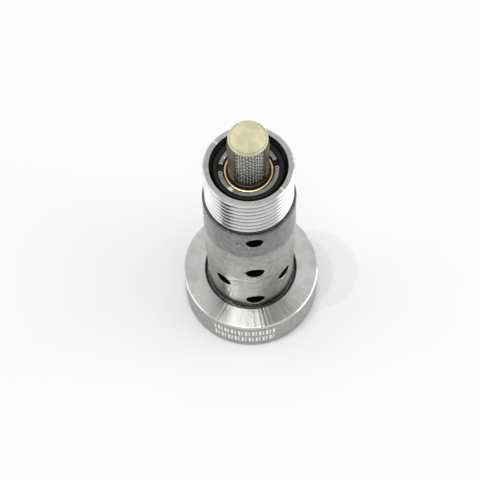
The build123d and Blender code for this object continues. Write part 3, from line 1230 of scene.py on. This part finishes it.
@dataclass
class Mouth:
    """The pieces in the thread's mouth: holder, keepers and brass collar."""

    holder_r: float = 6.98
    holder_start: float = 52.4
    holder_floor: float = 53.4
    holder_shelf: float = 56.0
    holder_end: float = 56.9
    holder_hole_r: float = 3.4
    socket_r: float = 4.95
    recess_r: float = 6.0
    seal_groove: Point2 = (53.4, 54.6)
    seal_groove_r: float = 6.02
    keeper_inner_r: float = 5.1
    keeper_outer_r: float = 5.97
    keeper_thickness: float = 0.55
    front_angles: Point2 = (183.0, 356.0)
    back_angles: Point2 = (15.0, 162.0)
    eye_place_r: float = 5.53
    eye_r: float = 0.44
    eye_hole_r: float = 0.2
    keeper_round: float = 0.1
    collar_inner_r: float = 4.28
    collar_outer_r: float = 4.9
    collar_start: float = 55.3
    collar_end: float = 56.1

    def holder(self, finishes: FinishSet) -> bpy.types.Object:
        """Builds the black holder.

        Args:
            finishes: The valve's finishes.

        Returns:
            The finished piece.
        """
        low, high = self.seal_groove
        corners = [
            Corner(self.holder_hole_r, self.holder_start, 0.1),
            Corner(self.holder_r, self.holder_start, 0.1),
            Corner(self.holder_r, low, 0.05),
            Corner(self.seal_groove_r, low, 0.05),
            Corner(self.seal_groove_r, high, 0.05),
            Corner(self.holder_r, high, 0.05),
            Corner(self.holder_r, self.holder_end, 0.15),
            Corner(self.recess_r, self.holder_end, 0.15),
            Corner(self.recess_r, self.holder_shelf, 0.05),
            Corner(self.socket_r, self.holder_shelf, 0.05),
            Corner(self.socket_r, self.holder_floor, 0.05),
            Corner(self.holder_hole_r, self.holder_floor, 0.05),
        ]
        piece = turned("filter_holder_bush", corners)
        return finish_piece(piece, [finishes.black], "valve", ("filter_holder",))

    def keeper(
        self, name: str, node: str, angles: Point2, with_eyes: bool, finishes: FinishSet
    ) -> bpy.types.Object:
        """Builds one flat keeper.

        Args:
            name: Name of the piece.
            node: CAD node that it stands for.
            angles: First and last angle of the arc.
            with_eyes: True if each end has an eye.
            finishes: The valve's finishes.

        Returns:
            The finished piece.
        """
        low = self.holder_shelf
        high = low + self.keeper_thickness
        soft = self.keeper_round
        corners = [
            Corner(self.keeper_inner_r, low, soft / 2),
            Corner(self.keeper_outer_r, low, soft / 2),
            Corner(self.keeper_outer_r, high, soft),
            Corner(self.keeper_inner_r, high, soft),
        ]
        arc = swept_arc(name, corners, *angles)
        if with_eyes:
            eyes = [self.eye(angle, low, high) for angle in angles]
            holes = [self.eye_hole(angle, low, high) for angle in angles]
            combine(arc, eyes, "UNION")
            combine(arc, holes, "DIFFERENCE")
        return finish_piece(arc, [finishes.keeper], "valve", (node,))

    def eye(self, angle: float, low: float, high: float) -> bpy.types.Object:
        """Builds the round end of a keeper."""
        return pin("eye", self.eye_r, low, high, polar(self.eye_place_r, angle, 0), 40, (0.04, 0.08))

    def eye_hole(self, angle: float, low: float, high: float) -> bpy.types.Object:
        """Builds the cutter of an eye's hole."""
        low, high = low - CUT_MARGIN, high + CUT_MARGIN
        return pin("eye_hole", self.eye_hole_r, low, high, polar(self.eye_place_r, angle, 0), 32)

    def collar(self, finishes: FinishSet) -> bpy.types.Object:
        """Builds the rounded brass collar.

        Args:
            finishes: The valve's finishes.

        Returns:
            The finished piece.
        """
        corners = [
            Corner(self.collar_inner_r, self.collar_start, 0.05),
            Corner(self.collar_outer_r, self.collar_start, 0.05),
            Corner(self.collar_outer_r, self.collar_end, 0.28),
            Corner(self.collar_inner_r, self.collar_end, 0.28),
        ]
        piece = turned("brass_collar_ring", corners)
        return finish_piece(piece, [finishes.brass], "valve", ("brass_collar",))

    def build(self, finishes: FinishSet) -> list[bpy.types.Object]:
        """Builds and dresses every piece in the mouth.

        Args:
            finishes: The valve's finishes.

        Returns:
            The finished pieces.
        """
        return [
            self.holder(finishes),
            self.keeper("front_keeper_ring", "front_keeper", self.front_angles, True, finishes),
            self.keeper("back_keeper_ring", "back_keeper", self.back_angles, False, finishes),
            self.collar(finishes),
        ]


def finish_piece(
    piece: bpy.types.Object,
    materials: Sequence[bpy.types.Material],
    body: str,
    nodes: Sequence[str],
    angle: float = 30.0,
) -> bpy.types.Object:
    """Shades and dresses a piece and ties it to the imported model.

    Args:
        piece: The piece.
        materials: Its materials, one to a slot.
        body: The body that it moves with.
        nodes: The CAD nodes that it stands for.
        angle: Edges sharper than this stay crisp.

    Returns:
        The same piece.
    """
    shade(piece, angle)
    dress(piece, materials)
    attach(piece, body)
    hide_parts(*nodes)
    return piece


@dataclass
class InletFilter:
    """The moulded filter cage with its cap, and the woven screen inside its ribs."""

    cap_r: float = 3.8
    cap_start: float = 68.3
    cap_rim_end: float = 68.65
    cap_end: float = 68.9
    cap_segments: int = 192
    cap_rings: int = 72
    disc_r: float = 3.45
    disc_bevel: float = 0.2
    gap_r: float = 3.58
    gap_depth: float = 0.14
    cap_groove_r: float = 3.02
    cap_groove_width: float = 0.18
    cap_groove_depth: float = 0.14
    band_angle: float = 26.0
    band_width: float = 0.62
    band_depth: float = 0.1
    flange_r: float = 4.9
    flange_bore_r: float = 3.0
    flange_start: float = 53.4
    flange_end: float = 55.3
    foot_inner_r: float = 3.44
    foot_r: float = 4.1
    foot_end: float = 56.6
    rib_inner_r: float = 3.45
    rib_outer_r: float = 4.02
    rib_top_r: float = 3.78
    rib_step: float = 66.6
    rib_angle: float = 76.0
    rib_middles: tuple[float, ...] = (0.0, 180.0)
    rib_overlap: Point2 = (0.1, 0.05)
    wire_r: float = 0.08
    wire_sides: int = 6
    wire_chords: int = 4
    screen_r: float = 3.33
    warp_count: int = 36
    weft_count: int = 19
    shade_sheet_r: float = 3.22
    shade_sheet_thickness: float = 0.1

    def cap_top(self, radius: float, angle: float) -> float:
        """Gives the height of the cap's top.

        Args:
            radius: Radius of the place.
            angle: Angle of the place, in degrees.

        Returns:
            The height, with the ring groove and the band taken in.
        """
        groove = 1 - smooth_step(0.0, self.cap_groove_width, abs(radius - self.cap_groove_r))
        across = abs(radius * math.sin(math.radians(angle - self.band_angle)))
        edge = self.band_width / 2
        band = 1 - smooth_step(edge - 0.05, edge + 0.03, across)
        inside = 1 - smooth_step(self.cap_groove_r - 0.12, self.cap_groove_r, radius)
        return self.cap_end - self.cap_groove_depth * groove - self.band_depth * band * inside

    def cap(self, finishes: FinishSet) -> bpy.types.Object:
        """Builds the cap, whose top carries a groove and a band.

        Args:
            finishes: The valve's finishes.

        Returns:
            The finished piece.
        """
        segments = self.cap_segments
        gap_floor = self.cap_rim_end - self.gap_depth
        side = rounded_outline(
            [
                Corner(0, self.cap_start),
                Corner(self.cap_r, self.cap_start, 0.08),
                Corner(self.cap_r, self.cap_rim_end, 0.1),
                Corner(self.gap_r, self.cap_rim_end, 0.04),
                Corner(self.gap_r, gap_floor, 0.02),
                Corner(self.disc_r, gap_floor, 0.02),
                Corner(self.disc_r - self.disc_bevel, self.cap_end, 0.08),
                Corner(0, self.cap_end),
            ],
            closed=False,
            steps=4,
        )[:-1]
        edge_r = side[-1].r
        steps = self.cap_rings
        top = [edge_r * (1 - step / steps) for step in range(1, steps + 1)]
        points: list[Point3] = []
        for column in range(segments):
            angle = FULL_TURN * column / segments
            points += [polar(corner.r, angle, corner.z) for corner in side]
            points += [polar(radius, angle, self.cap_top(radius, angle)) for radius in top]
        faces = grid_faces(segments, len(side) + len(top), True, False)
        cap = make_object("filter_cap", points, faces)
        return finish_piece(cap, [finishes.cap], "valve", ("filter_cage",))

    def foot(self, finishes: FinishSet) -> bpy.types.Object:
        """Builds the flange with the band round the screen's foot, dressed near black as painted shade.

        Args:
            finishes: The valve's finishes.

        Returns:
            The finished piece.
        """
        corners = [
            Corner(self.flange_bore_r, self.flange_start, 0.1),
            Corner(self.flange_r, self.flange_start, 0.1),
            Corner(self.flange_r, self.flange_end, 0.1),
            Corner(self.foot_r, self.flange_end, 0.05),
            Corner(self.foot_r, self.foot_end, 0.12),
            Corner(self.foot_inner_r, self.foot_end, 0.05),
            Corner(self.foot_inner_r, self.flange_end, 0.05),
            Corner(self.flange_bore_r, self.flange_end, 0.05),
        ]
        foot = turned("filter_foot", corners)
        return finish_piece(foot, [finishes.foot], "valve", ("filter_cage",))

    def rib(self, number: int, middle: float, finishes: FinishSet) -> bpy.types.Object:
        """Builds one rib, which steps in below the cap. Its finish is the cap's plastic darkened as
        painted shade.

        Args:
            number: The rib's number.
            middle: Angle of its middle.
            finishes: The valve's finishes.

        Returns:
            The finished piece.
        """
        low, high = self.foot_end - self.rib_overlap[0], self.cap_start + self.rib_overlap[1]
        corners = [
            Corner(self.rib_inner_r, low),
            Corner(self.rib_outer_r, low),
            Corner(self.rib_outer_r, self.rib_step, 0.12),
            Corner(self.rib_top_r, self.rib_step, 0.05),
            Corner(self.rib_top_r, high),
            Corner(self.rib_inner_r, high),
        ]
        first, last = middle - self.rib_angle / 2, middle + self.rib_angle / 2
        rib = swept_arc(f"filter_rib_{number}", corners, first, last, 48)
        return finish_piece(rib, [finishes.rib], "valve", ("filter_cage",))

    def screen(self, finishes: FinishSet) -> bpy.types.Object:
        """Weaves the screen from upright wires and rings that pass over and under each other.

        Args:
            finishes: The valve's finishes.

        Returns:
            The finished piece.
        """
        low, high = self.flange_end, self.cap_start
        spacing = (high - low) / self.weft_count
        swing = self.wire_r * 0.95
        per_crossing = self.wire_chords
        points: list[Point3] = []
        faces: list[tuple[int, ...]] = []
        for warp in range(self.warp_count):
            angle = FULL_TURN * warp / self.warp_count
            steps = self.weft_count * per_crossing
            path = []
            for step in range(steps + 1):
                phase = math.pi * (step / per_crossing + warp - 0.5)
                radius = self.screen_r + swing * math.sin(phase)
                path.append(Vector(polar(radius, angle, low + (high - low) * step / steps)))
            tube_mesh(path, self.wire_r, self.wire_sides, False, points, faces)
        for weft in range(self.weft_count):
            steps = self.warp_count * per_crossing
            height = low + spacing * (weft + 0.5)
            path = []
            for step in range(steps):
                phase = math.pi * (step / per_crossing + weft)
                radius = self.screen_r - swing * math.cos(phase)
                path.append(Vector(polar(radius, FULL_TURN * step / steps, height)))
            tube_mesh(path, self.wire_r, self.wire_sides, True, points, faces)
        screen = make_object("filter_screen", points, faces)
        return finish_piece(screen, [finishes.mesh_wire], "valve", ("filter_mesh",), 60)

    def shade_sheet(self, finishes: FinishSet) -> bpy.types.Object:
        """Builds a near-black sheet inside the screen: painted shade for the filter's shaded inside.

        Args:
            finishes: The valve's finishes.

        Returns:
            The finished piece.
        """
        inner = self.shade_sheet_r - self.shade_sheet_thickness
        corners = [
            Corner(inner, self.flange_end), Corner(self.shade_sheet_r, self.flange_end),
            Corner(self.shade_sheet_r, self.cap_start), Corner(inner, self.cap_start),
        ]
        shade_sheet = turned("filter_shade_sheet", corners, 96)
        return finish_piece(shade_sheet, [finishes.shade_sheet], "valve", ("filter_mesh",))

    def build(self, finishes: FinishSet) -> list[bpy.types.Object]:
        """Builds and dresses the filter.

        Args:
            finishes: The valve's finishes.

        Returns:
            The finished pieces.
        """
        ribs = [
            self.rib(number, middle, finishes) for number, middle in enumerate(self.rib_middles, start=1)
        ]
        return [
            self.cap(finishes), self.foot(finishes), *ribs, self.shade_sheet(finishes), self.screen(finishes),
        ]


# ---------------------------------------------------------------------------------------------
# Inside the valve
# ---------------------------------------------------------------------------------------------


@dataclass(frozen=True)
class Coil:
    """A round-wire spring.

    Attributes:
        name: Name of the piece.
        node: CAD node that it stands for.
        mean_r: Radius of the wire's middle line.
        wire_r: Radius of the wire.
        low: Height of the spring's lower end.
        high: Height of its upper end.
        turns: Number of turns.
        joint: Joint meant to shorten the spring; not used.
        fixed_end: Height meant to stay where it is; not used.
        travel: How far the other end was meant to move; not used.
        sides: Number of sides of the wire's section.
        chords: Number of chords in each turn.
    """

    name: str
    node: str
    mean_r: float
    wire_r: float
    low: float
    high: float
    turns: float
    joint: str
    fixed_end: float
    travel: float
    sides: int = 12
    chords: int = 48

    def build(self, finishes: FinishSet) -> bpy.types.Object:
        """Builds and dresses the spring.

        Args:
            finishes: The valve's finishes.

        Returns:
            The finished piece.
        """
        steps = int(self.turns * self.chords)
        start = self.low + self.wire_r
        rise = self.high - self.low - 2 * self.wire_r
        path = [
            Vector(polar(self.mean_r, FULL_TURN * self.turns * step / steps, start + rise * step / steps))
            for step in range(steps + 1)
        ]
        points: list[Point3] = []
        faces: list[tuple[int, ...]] = []
        tube_mesh(path, self.wire_r, self.sides, False, points, faces)
        spring = make_object(self.name, points, faces)
        finish_piece(spring, [finishes.spring_wire], "valve", (self.node,), 60)
        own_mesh(spring)
        return spring


@dataclass
class Internals:
    """The pieces inside the bolt: those seen from the head, and the hidden ones."""

    stop_height: float = 8.2
    stop_thickness: float = 0.9
    stop_inner_r: float = 6.1
    stop_outer_r: float = 7.48
    stop_gap: float = 34.0
    ear_angle: float = 23.0
    ear_place_r: float = 5.8
    ear_r: float = 1.15
    ear_hole_r: float = 0.55
    washer_r: float = 6.98
    washer_hole_r: float = 3.55
    washer_thickness: float = 1.0
    edge_round: float = 0.12
    nose_r: float = 3.3
    nose_tip: float = 4.2
    nose_round: float = 0.9
    nose_end: float = 9.25
    spigot_r: float = 2.58
    spigot_end: float = 9.7
    springs: tuple[Coil, ...] = (
        Coil("return_coil", "return_spring", 3.3, 0.42, 33.55, 43.95, 6.5, "spool_slide", 43.95, 3.0),
        Coil("check_coil", "check_spring", 1.05, 0.15, 45.95, 48.1, 3.5, "ball_lift", 45.95, 1.0),
    )

    def stop_ring(self, finishes: FinishSet) -> bpy.types.Object:
        """Builds the eared retaining ring.

        Args:
            finishes: The valve's finishes.

        Returns:
            The finished piece.
        """
        high = self.stop_height
        low = high - self.stop_thickness
        soft = self.edge_round
        ring = swept_arc(
            "stop_ring_clip",
            [
                Corner(self.stop_inner_r, low, soft),
                Corner(self.stop_outer_r, low, soft),
                Corner(self.stop_outer_r, high, soft),
                Corner(self.stop_inner_r, high, soft),
            ],
            self.stop_gap / 2,
            FULL_TURN - self.stop_gap / 2,
            120,
        )
        ears, holes = [], []
        for angle in (self.ear_angle, -self.ear_angle):
            offset = polar(self.ear_place_r, angle, 0)
            ears.append(pin("ear", self.ear_r, low, high, offset, 48, (soft, soft)))
            ends = low - CUT_MARGIN, high + CUT_MARGIN
            holes.append(pin("ear_hole", self.ear_hole_r, *ends, offset, 40))
        combine(ring, ears, "UNION")
        combine(ring, holes, "DIFFERENCE")
        return finish_piece(ring, [finishes.spring_wire], "valve", ("stop_ring",))

    def washer(self, finishes: FinishSet) -> bpy.types.Object:
        """Builds the stop washer.

        Args:
            finishes: The valve's finishes.

        Returns:
            The finished piece.
        """
        low, high = self.stop_height, self.stop_height + self.washer_thickness
        piece = turned(
            "stop_washer_disc",
            [
                Corner(self.washer_hole_r, low, self.edge_round),
                Corner(self.washer_r, low, 0.08),
                Corner(self.washer_r, high, 0.08),
                Corner(self.washer_hole_r, high, 0.08),
            ],
        )
        return finish_piece(piece, [finishes.inner_steel], "valve", ("stop_washer",))

    def nose(self, finishes: FinishSet) -> bpy.types.Object:
        """Builds the spool's nose, which the actuator pushes.

        Args:
            finishes: The valve's finishes.

        Returns:
            The finished piece.
        """
        piece = turned(
            "spool_nose_plug",
            [
                Corner(0, self.nose_tip),
                Corner(self.nose_r, self.nose_tip, self.nose_round),
                Corner(self.nose_r, self.nose_end, 0.1),
                Corner(self.spigot_r, self.nose_end, 0.05),
                Corner(self.spigot_r, self.spigot_end, 0.1),
                Corner(0, self.spigot_end),
            ],
            96,
        )
        return finish_piece(piece, [finishes.ball], "spool", ("spool_nose",))

    def carried_over(self, finishes: FinishSet) -> list[bpy.types.Object]:
        """Dresses the CAD nodes whose shape is right as it is.

        Args:
            finishes: The valve's finishes.

        Returns:
            The dressed nodes.
        """
        wanted = {
            # The sleeve's near-black finish is painted shade.
            "port_sleeve": (finishes.sleeve, "sleeve_aluminium"),
            "spool": (finishes.inner_steel, "hard_steel"),
            "spring_plug": (finishes.inner_steel, "hard_steel"),
            "check_cage": (finishes.inner_steel, "hard_steel"),
            "check_seat": (finishes.inner_steel, "hard_steel"),
            "check_ball": (finishes.ball, "ball_steel"),
            "holder_seal": (finishes.rubber, "seal_rubber"),
        }
        nodes = []
        for name, (material, slot) in wanted.items():
            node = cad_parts[name]
            dress(node, [material])
            nodes.append(node)
        return nodes

    def build(self, finishes: FinishSet) -> list[bpy.types.Object]:
        """Builds and dresses everything inside the bolt.

        Args:
            finishes: The valve's finishes.

        Returns:
            The finished pieces.
        """
        pieces = [self.stop_ring(finishes), self.washer(finishes), self.nose(finishes)]
        pieces += [spring.build(finishes) for spring in self.springs]
        return pieces + self.carried_over(finishes)


# ---------------------------------------------------------------------------------------------
# Studio
# ---------------------------------------------------------------------------------------------


def direction(azimuth: float, elevation: float) -> Vector:
    """Gives the direction of a place round the valve.

    Args:
        azimuth: Angle from -Y towards +X, in degrees.
        elevation: Angle above the floor, in degrees.

    Returns:
        The direction as a unit vector.
    """
    turn, rise = math.radians(azimuth), math.radians(elevation)
    return Vector(
        (math.sin(turn) * math.cos(rise), -math.cos(turn) * math.cos(rise), math.sin(rise))
    )


@dataclass(frozen=True)
class Panel:
    """A soft light panel that faces a point on the valve's axis.

    Attributes:
        name: Name of the light.
        azimuth: Angle from -Y towards +X, in degrees.
        elevation: Angle above the floor, in degrees.
        distance: Distance from the valve, in metres.
        size: Width and height, in metres.
        power: Power in watts.
    """

    name: str
    azimuth: float
    elevation: float
    distance: float
    size: Point2
    power: float

    def build(self) -> bpy.types.Object:
        """Makes the light.

        Returns:
            The light's object.
        """
        back = direction(self.azimuth, self.elevation)
        light = bpy.data.lights.new(self.name, "AREA")
        light.shape = "RECTANGLE"
        light.size, light.size_y = self.size
        light.energy = self.power
        panel = bpy.data.objects.new(self.name, light)
        panel.location = Vector((0, 0, PANEL_HEIGHT)) + back * self.distance
        panel.rotation_mode = "QUATERNION"
        panel.rotation_quaternion = (-back).to_track_quat("-Z", "Y")
        panel.visible_camera = False
        bpy.context.scene.collection.objects.link(panel)
        return panel


@dataclass
class Studio:
    """Pale floor, soft light and the camera. Lights, floor and card are in metres."""

    target: Point3 = (0.0, 0.0, 30.0)
    camera_azimuth: float = -5.3
    camera_elevation: float = 64.43
    camera_distance: float = 289.9
    camera_roll: float = 1.306
    camera_pan: float = 0.413
    camera_tilt: float = -0.5016
    lens: float = 103.15
    sensor: float = 36.0
    clipping: Point2 = (0.01, 20.0)
    floor_size: float = 6.0
    floor_drop: float = 0.02
    floor_grey: float = 0.95
    plate_roughness: float = 0.9
    world_strength: float = 0.64
    side_panels: tuple[Panel, ...] = (
        Panel("right_panel", 80, 22, 1.0, (1.0, 0.9), 3.2),
        Panel("left_panel", -95, 22, 1.0, (1.0, 0.9), 1.5),
    )
    lamp_count: int = 4
    lamp_height: float = 0.6
    lamp_span: Point2 = (-0.15, 0.022)
    lamp_back: float = -0.02
    lamp_power: float = 0.3
    lamp_size: float = 0.005
    card_size: Point2 = (0.2, 0.73)
    card_place: Point3 = (-0.492, -0.284, 0.58)
    card_turn: float = -47.4
    card_grey: float = 0.01

    def camera(self) -> bpy.types.Object:
        """Makes the scene's camera.

        Returns:
            The camera.
        """
        back = direction(self.camera_azimuth, self.camera_elevation)
        turn = math.radians(self.camera_azimuth)
        right = Vector((math.cos(turn), math.sin(turn), 0))
        look = Matrix((right, back.cross(right), back)).transposed()
        look = look @ Matrix.Rotation(math.radians(-self.camera_roll), 3, "Z")
        look = look @ Matrix.Rotation(math.radians(self.camera_tilt), 3, "X")
        look = look @ Matrix.Rotation(math.radians(self.camera_pan), 3, "Y")
        data = bpy.data.cameras.new("camera")
        data.lens = self.lens
        data.sensor_width = self.sensor
        data.clip_start, data.clip_end = self.clipping
        camera = bpy.data.objects.new("camera", data)
        camera.rotation_mode = "QUATERNION"
        camera.location = (Vector(self.target) + back * self.camera_distance) * MM
        camera.rotation_quaternion = look.to_quaternion()
        bpy.context.scene.collection.objects.link(camera)
        bpy.context.scene.camera = camera
        return camera

    def plate(self, name: str, finish: str, size: Point2, grey: float) -> bpy.types.Object:
        """Makes a flat level plate for the studio, dull and of one grey.

        Args:
            name: Name of the object.
            finish: Name of its material.
            size: Its sides in metres.
            grey: Its brightness.

        Returns:
            The plate.
        """
        x, y = size[0] / 2, size[1] / 2
        mesh = bpy.data.meshes.new(name)
        mesh.from_pydata([(-x, -y, 0), (x, -y, 0), (x, y, 0), (-x, y, 0)], [], [(0, 1, 2, 3)])
        plate = bpy.data.objects.new(name, mesh)
        bpy.context.scene.collection.objects.link(plate)
        sheet = Sheet(finish)
        sheet.shader.inputs["Base Color"].default_value = (grey, grey, grey, 1)
        sheet.shader.inputs["Roughness"].default_value = self.plate_roughness
        dress(plate, [sheet.material])
        return plate

    def floor(self) -> bpy.types.Object:
        """Lays the plain pale floor, just below the valve.

        Returns:
            The floor.
        """
        floor = self.plate("floor", "pale_floor", (self.floor_size, self.floor_size), self.floor_grey)
        floor.location = (0, 0, -self.floor_drop * MM)
        return floor

    def card(self) -> bpy.types.Object:
        """Hangs a dark card above the valve, which draws a dark line in its turned faces.

        Returns:
            The card.
        """
        card = self.plate("dark_card", "dark_card", self.card_size, self.card_grey)
        card.location = self.card_place
        card.rotation_euler = (0, 0, math.radians(self.card_turn))
        return card

    def world(self) -> None:
        """Lights the scene evenly from all round."""
        world = bpy.data.worlds.new("studio")
        world.use_nodes = True
        background = world.node_tree.nodes["Background"]
        background.inputs["Color"].default_value = (1, 1, 1, 1)
        background.inputs["Strength"].default_value = self.world_strength
        bpy.context.scene.world = world

    def lights(self) -> list[bpy.types.Object]:
        """Makes the light panels and the row of small lamps.

        Returns:
            The lights' objects.
        """
        panels = list(self.side_panels)
        first, last = self.lamp_span
        size = (self.lamp_size, self.lamp_size)
        for number in range(self.lamp_count):
            side = first + (last - first) * number / (self.lamp_count - 1)
            reach = math.hypot(side, self.lamp_back)
            elevation = math.degrees(math.atan2(self.lamp_height, reach))
            distance = math.hypot(self.lamp_height, reach)
            azimuth = math.degrees(math.atan2(side, -self.lamp_back))
            name = f"lamp_{number + 1}"
            panels.append(Panel(name, azimuth, elevation, distance, size, self.lamp_power))
        return [panel.build() for panel in panels]

    def build(self) -> None:
        """Sets up the whole studio."""
        self.camera()
        self.floor()
        self.card()
        self.world()
        self.lights()
        bpy.context.scene.view_settings.view_transform = "Standard"


def report(pieces: Iterable[bpy.types.Object]) -> None:
    """Logs the name and the face count of each piece."""
    for piece in pieces:
        log.info("%s: %d faces", piece.name, len(piece.data.polygons))


def main() -> None:
    """Builds the valve and its studio, in order."""
    logging.basicConfig(level=logging.INFO, format="%(name)s: %(message)s")
    Studio().build()
    finishes = FinishSet()
    report([ValveBolt().build(finishes)])
    report([EtchedBars().build(finishes)])
    report(Mouth().build(finishes))
    report(InletFilter().build(finishes))
    report(Internals().build(finishes))


if __name__ == "__main__":
    main()
